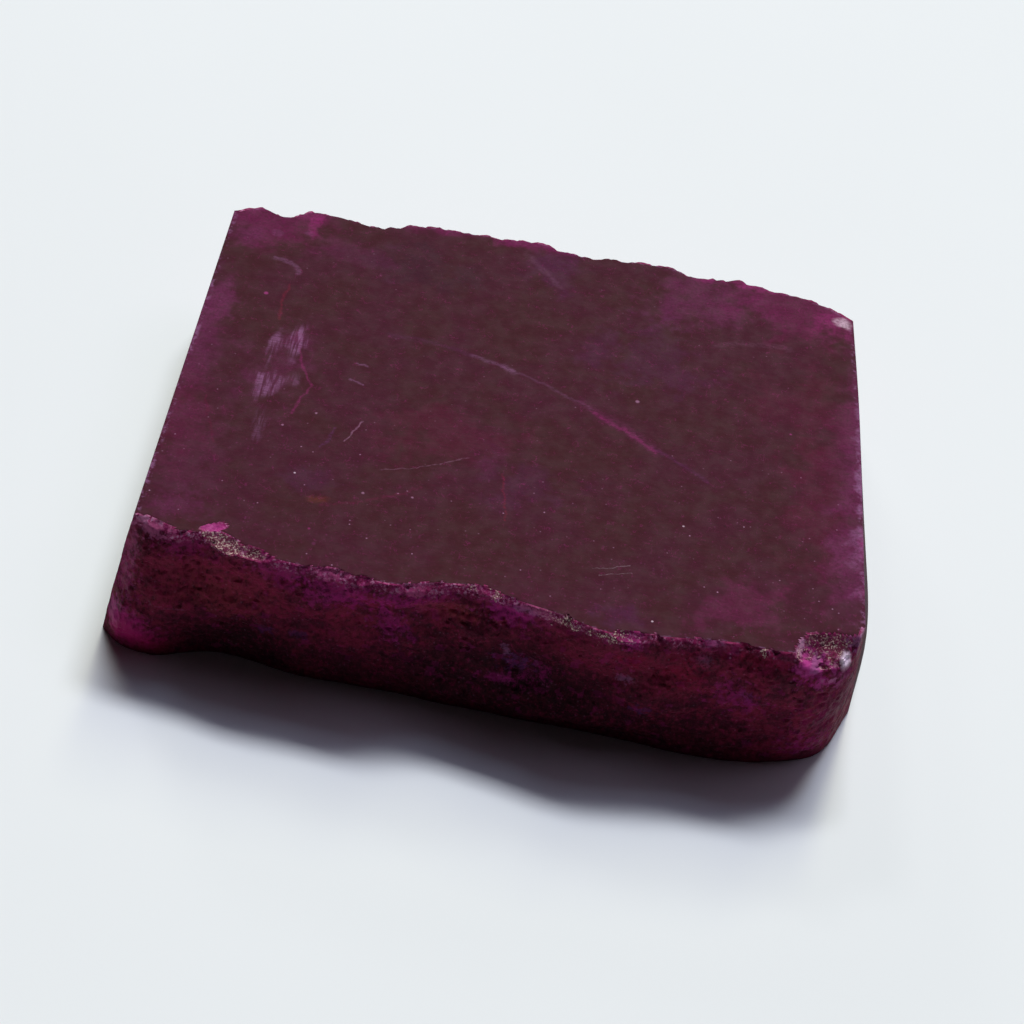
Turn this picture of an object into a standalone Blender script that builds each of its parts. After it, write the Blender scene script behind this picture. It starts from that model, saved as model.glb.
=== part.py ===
"""Raw ruby crystal: a slab sawn from a piece of raw ruby, lying flat on its sawn base.

The slab is one stone. Its top, base, left side and right side are saw cuts, so they are flat.
Its front and back are the broken skin of the rough, so they are lumpy, and their rims are chipped.

X runs along the front edge, Y to the back and Z up. The origin is on the table, under the middle
of the slab's bounding box. The rim points and the chips are in millimetres, measured from the
front left corner of the top; shapes are made in metres.
"""

import bmesh
import bpy
import numpy as np

MM = 0.001
NAME = "raw_ruby"

# Driving dimensions.
HEIGHT = 10.0
FRONT_COLUMNS = 100
BACK_COLUMNS = 84
SAWN_COLUMNS = 14
ROWS = 16

# The rim of the sawn top and the rim of the sawn base. Each side starts where the one before it
# ends, and the four go round as seen from above, from the front left corner.
FRONT_TOP = [(-0.4, -0.2), (2.6, -1.1), (4.0, -0.9), (6.4, -1.7), (9.8, -2.3), (13.0, -2.4),
             (16.6, -2.6), (20.4, -1.8), (22.7, -2.2), (26.2, -2.9), (29.9, -3.7), (33.0, -3.3),
             (36.9, -2.9), (41.0, -2.9), (44.2, -1.9), (45.0, 0.4)]
FRONT_BASE = [(-2.3, -0.8), (-1.3, -1.8), (1.2, -2.3), (3.4, -1.3), (5.3, -1.0), (7.4, -1.5),
              (10.0, -2.1), (15.0, -2.1), (20.0, -2.1), (25.0, -2.6), (30.0, -3.0), (35.0, -3.4),
              (40.7, -3.0), (44.0, -1.6), (46.0, 2.4)]
RIGHT_TOP = [(45.0, 0.4), (44.5, 10.0), (43.9, 21.0), (43.2, 29.8)]
RIGHT_BASE = [(46.0, 2.4), (46.7, 9.0), (46.2, 20.0), (45.2, 30.2)]
BACK_TOP = [(43.2, 29.8), (41.9, 30.6), (40.2, 31.3), (37.6, 31.8), (35.1, 32.3), (32.0, 31.9),
            (30.6, 32.4), (26.4, 32.4), (23.8, 32.1), (22.3, 32.6), (16.6, 32.6), (11.6, 32.5),
            (9.0, 31.8), (6.2, 32.4), (4.7, 32.2), (2.8, 31.2), (1.0, 31.8), (-0.6, 30.9)]
BACK_BASE = [(45.2, 30.2), (41.5, 31.4), (37.0, 31.6), (31.0, 32.3), (26.0, 31.6), (20.0, 32.0),
             (13.0, 31.4), (8.0, 31.8), (3.0, 31.5), (-2.3, 30.9)]
LEFT_TOP = [(-0.6, 30.9), (-0.4, -0.2)]
LEFT_BASE = [(-2.3, 30.9), (-2.3, -0.8)]

# Relief of the broken skin: the width and height of its lumps, and how far they stand out.
SWELL = {"width": 9.0, "height": 6.0, "reach": 0.40, "seed": 3}
LUMPS = {"width": 3.6, "height": 2.4, "reach": 0.50, "seed": 7}
LEDGES = {"width": 2.2, "height": 0.9, "reach": 0.32, "seed": 12}
# Half way up, the skin stands this far in front of its worn rims. Its relief is lower at the rims,
# and reaches its full height this far from them.
SKIN_STANDS_OUT = 0.35
RIM_RELIEF = 0.22
RIM_HEIGHT = 1.6
# The skin fades out over this length as it nears a sawn side, down to this share at the corner.
SKIN_FADE = 1.5
CORNER_SHARE = 0.12

# Chips broken out of the rims and the front. Each is the hollow that a rough ball leaves: the
# ball's middle, which is outside the stone, its three half sizes and its turn about Z in degrees.
CHIPS = {
    "corner_chip": {"at": (43.6, -2.9, 10.6), "half": (2.8, 2.5, 2.3), "turn": 10},
    "left_chip": {"at": (5.0, -1.9, 10.3), "half": (1.6, 2.1, 1.0), "turn": -12},
    "left_chip_tail": {"at": (7.5, -2.4, 10.2), "half": (1.4, 0.9, 0.6), "turn": -14},
    "left_crumble": {"at": (0.9, -1.7, 10.2), "half": (2.0, 1.2, 0.9), "turn": -20},
    "rim_crumble": {"at": (18.8, -3.3, 10.1), "half": (2.4, 1.2, 1.1), "turn": 6},
    "middle_chip": {"at": (21.6, -2.9, 10.2), "half": (1.7, 1.5, 0.9), "turn": -10},
    "front_hollow": {"at": (24.4, -4.0, 4.6), "half": (2.2, 1.4, 1.2), "turn": 5},
    "right_chip": {"at": (45.5, 7.0, 10.1), "half": (0.9, 2.4, 0.8), "turn": 2},
    "back_chip_left": {"at": (9.0, 33.0, 10.2), "half": (1.4, 1.1, 0.9), "turn": 4},
    "back_chip_middle": {"at": (24.6, 33.3, 9.4), "half": (2.6, 1.4, 1.1), "turn": -3},
    "back_chip_right": {"at": (33.0, 33.1, 10.0), "half": (2.2, 1.2, 1.0), "turn": -6},
}
# The ball's lumps: how wide they are, and how far they swell and pinch its radius.
CHIP_LUMP = {"width": 0.9, "share": 0.30, "seed": 21}

# Dark ruby, satin where it is sawn.
RUBY_COLOR = (0.062, 0.010, 0.022, 1.0)
RUBY_ROUGHNESS = 0.48


def lattice(column, row, layer, seed):
    """A repeatable value from 0 to 1 for every whole-numbered point of a grid."""
    mixed = (column * 73856093) ^ (row * 19349663) ^ (layer * 83492791) ^ (seed * 49979693)
    mixed = ((mixed ^ (mixed >> 13)) * 1274126177) & 0x7FFFFFFF
    return ((mixed ^ (mixed >> 16)) & 0xFFFF) / 65535.0


def value_noise(points, seed):
    """Smooth noise from -1 to 1: the lattice values, blended over the cell that holds a point."""
    cell = np.floor(points).astype(np.int64)
    part = points - cell
    part = part * part * (3.0 - 2.0 * part)
    total = np.zeros(len(points))
    for corner in np.ndindex(2, 2, 2):
        weight = np.prod(np.where(corner, part, 1.0 - part), axis=1)
        total += weight * lattice(*(cell + corner).T, seed)
    return 2.0 * total - 1.0


def relief(points, form):
    """Lumps of one size, in millimetres outwards, at points given in millimetres."""
    size = np.array([form["width"], form["width"], form["height"]])
    return form["reach"] * value_noise(points / size, form["seed"])


def curve_through(points, count):
    """The count points that start equal steps along a smooth curve through the points given.

    Each span is a cubic whose slope at a point is that of the line joining its two neighbours.
    """
    knots = np.array(points, float)
    chord = np.concatenate([[0.0], np.cumsum(np.linalg.norm(np.diff(knots, axis=0), axis=1))])
    slope = np.gradient(knots, chord, axis=0) if len(knots) > 2 else (knots[1:] - knots[:1]) / chord[1]
    slope = np.broadcast_to(slope, knots.shape)
    along = np.linspace(0.0, chord[-1], count, endpoint=False)
    span = np.clip(np.searchsorted(chord, along, side="right") - 1, 0, len(knots) - 2)
    width = (chord[span + 1] - chord[span])[:, None]
    t = (along - chord[span])[:, None] / width
    start = knots[span] * (2 * t**3 - 3 * t**2 + 1) + slope[span] * width * (t**3 - 2 * t**2 + t)
    end = knots[span + 1] * (3 * t**2 - 2 * t**3) + slope[span + 1] * width * (t**3 - t**2)
    return start + end


def rim(front, right, back, left):
    """One closed rim from its four sides."""
    sides = [(front, FRONT_COLUMNS), (right, SAWN_COLUMNS), (back, BACK_COLUMNS), (left, SAWN_COLUMNS)]
    return np.concatenate([curve_through(points, count) for points, count in sides])


def skin_share(rim_points):
    """How broken the side is at each column: 1 on the front and back, fading to 0 on sawn sides."""
    length = np.linalg.norm(rim_points - np.roll(rim_points, 1, axis=0), axis=1)
    place = np.cumsum(length)
    share = np.zeros(len(rim_points))
    front = place[:FRONT_COLUMNS]
    share[:FRONT_COLUMNS] = np.clip((front - front[0]) / SKIN_FADE, CORNER_SHARE, 1.0)
    start = FRONT_COLUMNS + SAWN_COLUMNS
    back = place[start:start + BACK_COLUMNS]
    ends = np.minimum(back - back[0], back[-1] - back)
    share[start:start + BACK_COLUMNS] = np.clip(ends / SKIN_FADE, CORNER_SHARE, 1.0)
    return share


def outward(rim_points):
    """The level direction that points out of the slab at each column."""
    along = np.roll(rim_points, -1, axis=0) - np.roll(rim_points, 1, axis=0)
    along /= np.linalg.norm(along, axis=1)[:, None]
    return np.stack([along[:, 1], -along[:, 0]], axis=1)


def slab_rings():
    """The wall of the slab: rows of columns of points, from the base rim to the top rim."""
    top = rim(FRONT_TOP, RIGHT_TOP, BACK_TOP, LEFT_TOP)
    base = rim(FRONT_BASE, RIGHT_BASE, BACK_BASE, LEFT_BASE)
    share = skin_share(top)
    rings = []
    for row in range(ROWS + 1):
        rise = row / ROWS
        level = base * (1.0 - rise) + top * rise
        points = np.column_stack([level, np.full(len(level), rise * HEIGHT)])
        to_rim = min(rise, 1.0 - rise) * HEIGHT
        belly = min(1.0, to_rim / RIM_HEIGHT)
        lumps = sum(relief(points, form) for form in (SWELL, LUMPS, LEDGES))
        reach = share * (lumps * (RIM_RELIEF + (1.0 - RIM_RELIEF) * belly) + SKIN_STANDS_OUT * belly)
        points[:, :2] += outward(level) * reach[:, None]
        rings.append(points)
    return np.array(rings)


def loft(name, rings):
    """A closed mesh: quads between neighbouring rings, and one flat face over each end."""
    rows, columns, _ = rings.shape
    row, column = np.meshgrid(np.arange(rows - 1), np.arange(columns), indexing="ij")
    after = (column + 1) % columns
    quads = np.stack([row * columns + column, row * columns + after,
                      (row + 1) * columns + after, (row + 1) * columns + column], axis=-1)
    faces = quads.reshape(-1, 4).tolist()
    faces.append(list(range(columns))[::-1])
    faces.append(list(range((rows - 1) * columns, rows * columns)))
    mesh = bpy.data.meshes.new(name)
    mesh.from_pydata(rings.reshape(-1, 3).tolist(), [], faces)
    mesh.validate()
    return mesh


def chip_cutter(name, chip, shift, collection):
    """A rough lump, hidden, whose hollow is cut out of the slab."""
    mesh = bpy.data.meshes.new(name)
    shape = bmesh.new()
    bmesh.ops.create_icosphere(shape, subdivisions=3, radius=1.0)
    unit = np.array([vert.co for vert in shape.verts])
    ball = unit * np.array(chip["half"])
    bump = value_noise(ball / CHIP_LUMP["width"] + np.array(chip["at"]), CHIP_LUMP["seed"])
    lumpy = ball * (1.0 + CHIP_LUMP["share"] * bump)[:, None]
    turn = np.radians(chip["turn"])
    spin = np.array([[np.cos(turn), -np.sin(turn), 0], [np.sin(turn), np.cos(turn), 0], [0, 0, 1]])
    placed = (lumpy @ spin.T + np.array(chip["at"]) + shift) * MM
    for vert, point in zip(shape.verts, placed):
        vert.co = point
    shape.to_mesh(mesh)
    shape.free()
    cutter = bpy.data.objects.new(name, mesh)
    cutter.hide_render = True
    cutter.display_type = "WIRE"
    collection.objects.link(cutter)
    return cutter


def ruby_material():
    """Dark ruby with a satin surface."""
    material = bpy.data.materials.new("ruby")
    material.use_nodes = True
    shader = material.node_tree.nodes["Principled BSDF"]
    shader.inputs["Base Color"].default_value = RUBY_COLOR
    shader.inputs["Roughness"].default_value = RUBY_ROUGHNESS
    shader.inputs["Metallic"].default_value = 0.0
    return material


def new_collection(name):
    collection = bpy.data.collections.new(name)
    bpy.context.scene.collection.children.link(collection)
    return collection


def main():
    for item in list(bpy.data.objects):
        bpy.data.objects.remove(item, do_unlink=True)
    stone_collection = new_collection("Raw ruby crystal")
    cutter_collection = new_collection("Cutters")

    rings = slab_rings()
    low = rings.min(axis=(0, 1))
    high = rings.max(axis=(0, 1))
    shift = np.array([-(low[0] + high[0]) / 2, -(low[1] + high[1]) / 2, 0.0])
    stone = bpy.data.objects.new(NAME, loft(NAME, (rings + shift) * MM))
    stone.data.materials.append(ruby_material())
    stone_collection.objects.link(stone)

    for name, chip in CHIPS.items():
        cut = stone.modifiers.new(name, "BOOLEAN")
        cut.operation = "DIFFERENCE"
        cut.solver = "EXACT"
        cut.object = chip_cutter(name, chip, shift, cutter_collection)


main()
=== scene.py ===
"""Raw ruby crystal: the finished surface of a sawn slab of raw ruby, on a pale floor.

The stone is one piece. Its top, base, left side and right side are saw cuts. Its front and back
are the broken skin of the rough: lumps and ledges of small crystals, with chipped rims.
"""

import math

import bpy
import numpy as np
from mathutils import Euler, Matrix, Vector


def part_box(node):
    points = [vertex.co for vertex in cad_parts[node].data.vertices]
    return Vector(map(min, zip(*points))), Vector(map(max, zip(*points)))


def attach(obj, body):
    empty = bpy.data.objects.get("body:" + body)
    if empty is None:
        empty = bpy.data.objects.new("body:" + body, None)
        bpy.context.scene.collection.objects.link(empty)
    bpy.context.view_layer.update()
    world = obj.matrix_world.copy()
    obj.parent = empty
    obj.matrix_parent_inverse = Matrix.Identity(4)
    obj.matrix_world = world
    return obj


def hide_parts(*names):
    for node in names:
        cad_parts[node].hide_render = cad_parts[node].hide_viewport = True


bl_info = {
    "name": "Raw Ruby Crystal",
    "version": (1, 0, 0),
    "blender": (4, 5, 0),
    "location": "View3D > Sidebar > Raw Ruby",
    "description": "Builds a sawn slab of raw ruby with a broken, chipped skin, and a pale stage for it",
    "category": "Add Mesh",
}

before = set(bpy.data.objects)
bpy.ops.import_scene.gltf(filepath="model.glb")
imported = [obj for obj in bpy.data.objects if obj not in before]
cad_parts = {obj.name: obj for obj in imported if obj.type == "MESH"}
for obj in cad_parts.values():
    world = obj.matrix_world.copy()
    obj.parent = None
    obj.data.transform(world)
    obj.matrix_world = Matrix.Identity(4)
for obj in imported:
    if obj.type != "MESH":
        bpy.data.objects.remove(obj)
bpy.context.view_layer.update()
CAD_NODE = "raw_ruby"
STONE_LOW, STONE_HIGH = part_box(CAD_NODE)

MM = 0.001

# ---------------------------------------------------------------------------------------------
# The stone's form, in millimetres from the front left corner of its top. X runs along the front,
# Y to the back and Z up from the table.
# ---------------------------------------------------------------------------------------------

HEIGHT = 10.0

# The rim of the sawn top and the rim of the sawn base. Each side starts where the one before it
# ends, and the four go round as seen from above, from the front left corner.
FRONT_TOP = [(-0.4, -0.2), (2.6, -1.1), (4.0, -0.9), (6.4, -1.7), (9.8, -2.3), (13.0, -2.4),
             (16.6, -2.6), (20.4, -1.8), (22.7, -2.2), (26.2, -2.9), (29.9, -3.7), (33.0, -3.3),
             (36.9, -2.9), (41.0, -2.9), (44.2, -1.9), (45.0, 0.4)]
FRONT_BASE = [(-2.3, -0.8), (-1.3, -1.8), (1.2, -2.5), (3.4, -1.8), (5.3, -1.4), (7.4, -1.6),
              (10.0, -2.1), (15.0, -2.2), (20.0, -2.6), (25.0, -2.7), (30.0, -3.0), (35.0, -3.4),
              (40.7, -3.0), (43.7, -1.75), (45.75, 2.4)]
RIGHT_TOP = [(45.0, 0.4), (44.5, 10.0), (43.9, 21.0), (43.2, 29.8)]
RIGHT_BASE = [(45.75, 2.4), (46.7, 9.0), (46.2, 20.0), (45.2, 30.2)]
BACK_TOP = [(43.2, 29.8), (41.9, 30.6), (40.2, 31.3), (37.6, 31.8), (35.1, 32.3), (32.0, 31.9),
            (30.6, 32.4), (26.4, 32.4), (23.8, 32.1), (22.3, 32.6), (16.6, 32.6), (11.6, 32.5),
            (9.0, 31.8), (6.2, 32.4), (4.7, 32.2), (2.8, 31.2), (1.0, 31.8), (-0.6, 30.9)]
BACK_BASE = [(45.2, 30.2), (41.5, 31.4), (37.0, 31.6), (31.0, 32.3), (26.0, 31.6), (20.0, 32.0),
             (13.0, 31.4), (8.0, 31.8), (3.0, 31.5), (-2.3, 30.9)]
LEFT_TOP = [(-0.6, 30.9), (-0.4, -0.2)]
LEFT_BASE = [(-2.3, 30.9), (-2.3, -0.8)]

# Points round each side. Their sum halves three times, as the rings over the sawn faces do: rings
# close together near the rim, where chips are, then sparse ones. A sparse ring takes every second,
# fourth or eighth column, at these shares of the way out to the rim.
COLUMNS = {"front": 336, "right": 104, "back": 216, "left": 104}
WALL_ROWS = 74
DENSE_RINGS = 23
DENSE_DEPTH = 0.20
SPARSE_RINGS = ((2, (0.78, 0.75, 0.71)), (4, (0.66, 0.60, 0.53)), (8, (0.44, 0.33, 0.2, 0.07)))

# Relief of the broken skin: the width and height of its lumps, and how far they stand out.
SWELL = {"width": 9.0, "height": 6.0, "reach": 0.40, "seed": 3}
LUMPS = {"width": 3.6, "height": 2.4, "reach": 0.50, "seed": 7}
LEDGES = {"width": 2.2, "height": 0.9, "reach": 0.15, "seed": 12}

# Half way up, the skin stands this far in front of its worn rims. Its relief is lower at the rims,
# and reaches its full height this far from them. It fades out over SKIN_FADE beside a sawn side, and
# over CORNER_FADE at the worn front right corner, down to CORNER_SHARE.
SKIN_STANDS_OUT = 0.35
RIM_RELIEF = 0.22
RIM_HEIGHT = 1.6
SKIN_FADE = 1.5
CORNER_FADE = 5.5
CORNER_SHARE = 0.12

# Chips broken out of the rims and the skin. Each is a dish: the middle of its floor, its two half
# sizes, how far its floor has risen at its edge, its turns about X, Y and Z in degrees, and how much
# gold mica lines it. Unturned, a dish opens upwards.
CHIPS = [
    ((43.2, -1.45, 9.2), (2.05, 1.55), 0.5, (34, 4, 2), 0.62),
    ((44.35, -1.45, 8.85), (1.45, 1.75), 0.45, (42, 24, 10), 0.4),
    ((5.2, -1.1, 9.55), (1.4, 1), 0.4, (32, 0, -12), 0.85),
    ((4.5, -0.16, 9.9), (1.25, 0.5), 0.25, (8, 0, 24), 0),
    ((7.4, -1.6, 9.75), (1.1, 0.6), 0.3, (35, 0, -14), 0.55),
    ((1.2, -0.8, 9.7), (1.6, 0.7), 0.3, (30, 0, -22), 0.42),
    ((18.6, -2.3, 9.65), (2.1, 0.6), 0.3, (38, 0, 4), 0.25),
    ((21.6, -1.9, 9.7), (1.5, 0.8), 0.35, (32, 0, -8), 0.5),
    ((12.4, -2.3, 9.7), (1.4, 0.5), 0.3, (40, 0, -4), 0.1),
    ((31, -3.4, 9.7), (1.3, 0.5), 0.3, (38, 0, 3), 0.2),
    ((24.4, -2.75, 4.6), (2.2, 1.4), 0.4, (90, 0, 5), 0),
    ((9, 31.9, 8.2), (1.6, 1), 0.5, (-80, 0, 4), 0),
    ((24.6, 32, 8.1), (2.8, 1.1), 0.5, (-80, 0, -3), 0),
    ((34, 31.6, 4.9), (2.6, 1.6), 0.5, (-90, 0, -6), 0),
]

# A dish's corners are squarer than an oval's, and its floor rises as this power of the distance from
# its middle. Its floor has lumps, which are full from a share of the way out, and a point that it
# moves by more than CHIP_CUT counts as chipped.
CHIP_SQUARENESS = 2.6
CHIP_WALL = 4.0
CHIP_LUMP = {"width": 0.8, "reach": 0.10, "full_from": 0.5, "seed": 21}
CHIP_CUT = 0.02

# Small nicks that the rims of the broken sides lose, and the fine wear of the sawn rims. A higher
# gain or lift gives more nicks. A point this far off the sawn faces shows the skin.
NICKS = {"length": 0.9, "depth": 0.30, "gain": 1.5, "lift": 0.0, "seed": 31}
FINE_NICKS = {"length": 0.35, "depth": 0.16, "gain": 1.0, "lift": 0.4, "seed": 33}
BASE_NICKS_SHARE = 0.12
BEVEL_SEEN = 0.04
SAWN_WEAR = 0.05
SAWN_WEAR_LEAST = 0.4

# Crystals of the broken skin: their size, how far their faces tilt out, and a seed.
CRYSTALS = [
    {"size": (1.5, 1.5, 1.0), "tilt": 0.05, "seed": 41},
    {"size": (0.60, 0.60, 0.50), "tilt": 0.05, "seed": 43},
    {"size": (0.32, 0.32, 0.30), "tilt": 0.09, "seed": 47},
]

# The crystals stand out less towards the table, and right at the top rim.
CRYSTALS_FADE_BASE = 1.2
CRYSTALS_FADE_TOP = 0.6
CRYSTALS_AT_TOP = 0.4

# The edge between the sawn and the broken material is ragged, and a face is broken from this share.
RAGGED = {"width": 0.5, "reach": 0.3, "seed": 53}
BROKEN_FROM = 0.3

SHARP_ANGLE = 40.0


# Large primes that scatter the numbers of a grid point, and the highest value that they give.
SCATTER = (73856093, 19349663, 83492791, 49979693)
SCATTER_AGAIN = 1274126177
SCATTER_TOP = 0xFFFF


def lattice(column, row, layer, seed):
    """A repeatable value from 0 to 1 for every whole-numbered point of a grid."""
    mixed = (column * SCATTER[0]) ^ (row * SCATTER[1]) ^ (layer * SCATTER[2]) ^ (seed * SCATTER[3])
    mixed = ((mixed ^ (mixed >> 13)) * SCATTER_AGAIN) & 0x7FFFFFFF
    return ((mixed ^ (mixed >> 16)) & SCATTER_TOP) / SCATTER_TOP


def value_noise(points, seed):
    """Smooth noise from -1 to 1: the lattice values, blended over the cell that holds a point."""
    cell = np.floor(points).astype(np.int64)
    part = points - cell
    part = part * part * (3.0 - 2.0 * part)
    total = np.zeros(len(points))
    for corner in np.ndindex(2, 2, 2):
        weight = np.prod(np.where(corner, part, 1.0 - part), axis=1)
        total += weight * lattice(*(cell + corner).T, seed)
    return 2.0 * total - 1.0


def relief(points, form):
    """Lumps of one size, in millimetres outwards."""
    size = np.array([form["width"], form["width"], form["height"]])
    return form["reach"] * value_noise(points / size, form["seed"])


def curve_through(points, count):
    """The count points that start equal steps along a smooth curve through the points given.

    Each span is a cubic whose slope at a point is that of the line joining its two neighbours.
    """
    knots = np.array(points, float)
    chord = np.concatenate([[0.0], np.cumsum(np.linalg.norm(np.diff(knots, axis=0), axis=1))])
    slope = np.gradient(knots, chord, axis=0) if len(knots) > 2 else (knots[1:] - knots[:1]) / chord[1]
    slope = np.broadcast_to(slope, knots.shape)
    along = np.linspace(0.0, chord[-1], count, endpoint=False)
    span = np.clip(np.searchsorted(chord, along, side="right") - 1, 0, len(knots) - 2)
    width = (chord[span + 1] - chord[span])[:, None]
    t = (along - chord[span])[:, None] / width
    start = knots[span] * (2 * t**3 - 3 * t**2 + 1) + slope[span] * width * (t**3 - 2 * t**2 + t)
    end = knots[span + 1] * (3 * t**2 - 2 * t**3) + slope[span + 1] * width * (t**3 - t**2)
    return start + end


def rim(front, right, back, left):
    """One closed rim from its four sides."""
    sides = zip((front, right, back, left), COLUMNS.values())
    return np.concatenate([curve_through(points, count) for points, count in sides])


def skin_share(rim_points):
    """How far the side stands out at each column: 1 on broken sides, fading to 0 on sawn sides.

    The front fades slowly towards the worn corner at its right end.
    """
    place = np.cumsum(np.linalg.norm(rim_points - np.roll(rim_points, 1, axis=0), axis=1))
    share = np.zeros(len(rim_points))
    front = place[:COLUMNS["front"]]
    ends = np.minimum((front - front[0]) / SKIN_FADE, (front[-1] - front) / CORNER_FADE)
    share[:COLUMNS["front"]] = np.clip(ends, CORNER_SHARE, 1.0)
    start = COLUMNS["front"] + COLUMNS["right"]
    back = place[start:start + COLUMNS["back"]]
    ends = np.minimum(back - back[0], back[-1] - back)
    share[start:start + COLUMNS["back"]] = np.clip(ends / SKIN_FADE, CORNER_SHARE, 1.0)
    return share


def outward(rim_points):
    """The level direction that points out of the slab at each column."""
    along = np.roll(rim_points, -1, axis=0) - np.roll(rim_points, 1, axis=0)
    along /= np.linalg.norm(along, axis=1)[:, None]
    return np.stack([along[:, 1], -along[:, 0]], axis=1)


def wall_rings(top, base, share):
    """The wall: each row blends the base rim into the top rim, then stands out by its relief."""
    rings = []
    for rise in np.linspace(0.0, 1.0, WALL_ROWS + 1):
        level = base * (1.0 - rise) + top * rise
        points = np.column_stack([level, np.full(len(level), rise * HEIGHT)])
        belly = min(1.0, min(rise, 1.0 - rise) * HEIGHT / RIM_HEIGHT)
        lumps = sum(relief(points, form) for form in (SWELL, LUMPS, LEDGES))
        reach = share * (lumps * (RIM_RELIEF + (1.0 - RIM_RELIEF) * belly) + SKIN_STANDS_OUT * belly)
        points[:, :2] += outward(level) * reach[:, None]
        rings.append(points)
    return rings


def face_rings(edge):
    """Rings over a sawn face, from its rim to its middle: dense where chips are, then sparse.

    Each ring is the rim shrunk towards the middle. The sparse ones have half as many columns
    each time.
    """
    middle = (edge.min(axis=0) + edge.max(axis=0)) / 2
    dense = 1.0 - np.linspace(0.0, DENSE_DEPTH, DENSE_RINGS + 1)[1:]
    rings = [middle + (edge - middle) * share for share in dense]
    for step, shares in SPARSE_RINGS:
        rings += [middle + (edge[::step] - middle) * share for share in shares]
    return rings


def join_rings(rings):
    """Faces between neighbouring rings, and one flat face over each end.

    Rings of the same count are joined by quads. A ring of half the count is joined by faces of
    five corners: three on the fine ring and two on the coarse one.
    """
    starts = np.cumsum([0] + [len(ring) for ring in rings])
    faces = [list(range(len(rings[0])))[::-1]]
    for lower, upper, low, high in zip(rings[:-1], rings[1:], starts[:-1], starts[1:]):
        count = min(len(lower), len(upper))
        here = np.arange(count)
        after = (here + 1) % count
        if len(lower) == len(upper):
            faces += np.stack([low + here, low + after, high + after, high + here], axis=1).tolist()
        elif len(lower) > len(upper):
            fine = [low + 2 * here, low + 2 * here + 1, low + (2 * here + 2) % len(lower)]
            faces += np.stack(fine + [high + after, high + here], axis=1).tolist()
        else:
            fine = [high + (2 * here + 2) % len(upper), high + 2 * here + 1, high + 2 * here]
            faces += np.stack([low + here, low + after] + fine, axis=1).tolist()
    faces.append(list(range(starts[-2], starts[-1])))
    return faces


def nicked(points, form):
    """How deep the nicks of one size are at each point, from 0 to 1."""
    noise = value_noise(points / form["length"], form["seed"])
    return np.clip(noise * form["gain"] + form["lift"], 0.0, 1.0)


def nick_depth(rim_points, share):
    """How wide the worn bevel of a rim is at each column: notched on broken sides, fine on sawn ones."""
    here = np.column_stack([rim_points, np.zeros(len(rim_points))])
    fine = nicked(here, FINE_NICKS)
    broken = NICKS["depth"] * nicked(here, NICKS) + FINE_NICKS["depth"] * fine
    return share * broken + SAWN_WEAR * (SAWN_WEAR_LEAST + (1.0 - SAWN_WEAR_LEAST) * fine)


def bevel_rim(wall, cap, nicks, inwards, wall_down):
    """Breaks the edge between the wall and a sawn face into a bevel.

    A point nearer to the edge than the bevel's width slides on to the bevel's plane, and the edge
    itself goes to the middle of that plane. wall_down is the direction along the wall away from
    the edge: -1 below the top rim and 1 above the base rim.
    """
    edge = wall[-1].copy()
    for ring in wall:
        away = np.abs(edge[:, 2] - ring[:, 2])
        t = np.clip(1.0 - away / nicks, 0.0, 1.0)
        ring[:, :2] += inwards * (0.5 * t * nicks)[:, None]
        ring[:, 2] += wall_down * np.where(t > 0, nicks * (1.0 - 0.5 * t) - away, 0.0)
    for ring in cap:
        if len(ring) != len(edge):
            break
        away = np.linalg.norm(ring[:, :2] - edge[:, :2], axis=1)
        t = np.clip(1.0 - away / nicks, 0.0, 1.0)
        ring[:, :2] += inwards * np.where(t > 0, nicks * (1.0 - 0.5 * t) - away, 0.0)[:, None]
        ring[:, 2] += wall_down * 0.5 * t * nicks


def scoop(points, at, half, rise, turn):
    """Cuts a dish out of the stone. Returns the points and which of them the dish moved.

    A point that stands above the dish's floor drops on to it, along the dish's own upright. The
    floor rises as a power of the distance from its middle, so it ends in a steep wall.
    """
    spin = np.array(Euler([math.radians(angle) for angle in turn]).to_matrix())
    here = (points - np.array(at)) @ spin
    across = np.abs(here[:, :2] / np.array(half))
    gap = (across ** CHIP_SQUARENESS).sum(axis=1) ** (1.0 / CHIP_SQUARENESS)
    lump = CHIP_LUMP["reach"] * value_noise(points / CHIP_LUMP["width"], CHIP_LUMP["seed"])
    floor = rise * gap**CHIP_WALL + lump * np.clip(gap / CHIP_LUMP["full_from"], 0.0, 1.0)
    drop = np.clip(here[:, 2] - floor, 0.0, None)
    return points - drop[:, None] * spin[:, 2], drop > CHIP_CUT


def crystal_faces(points, form):
    """Broken crystals: space is cut into jittered cells, and each cell has one tilted flat face.

    A cell has six chances: three place its middle, and three tilt its face and set its height.
    Returns how far the face stands out at each point, and the cell's own value from 0 to 1.
    """
    place = points / np.array(form["size"])
    home = np.floor(place).astype(np.int64)
    nearest = np.full(len(points), np.inf)
    height = np.zeros(len(points))
    value = np.zeros(len(points))
    for step in np.ndindex(3, 3, 3):
        cell = home + np.array(step) - 1
        seeds = range(form["seed"], form["seed"] + 6)
        chance = np.stack([lattice(*cell.T, seed) for seed in seeds], axis=1)
        gap = place - cell - chance[:, :3]
        distance = (gap**2).sum(axis=1)
        closer = distance < nearest
        nearest = np.where(closer, distance, nearest)
        slope = chance[:, 3:6] * 2.0 - 1.0
        height = np.where(closer, (gap * slope).sum(axis=1) + chance[:, 3] - 0.5, height)
        value = np.where(closer, chance[:, 4], value)
    return form["tilt"] * height, value


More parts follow.
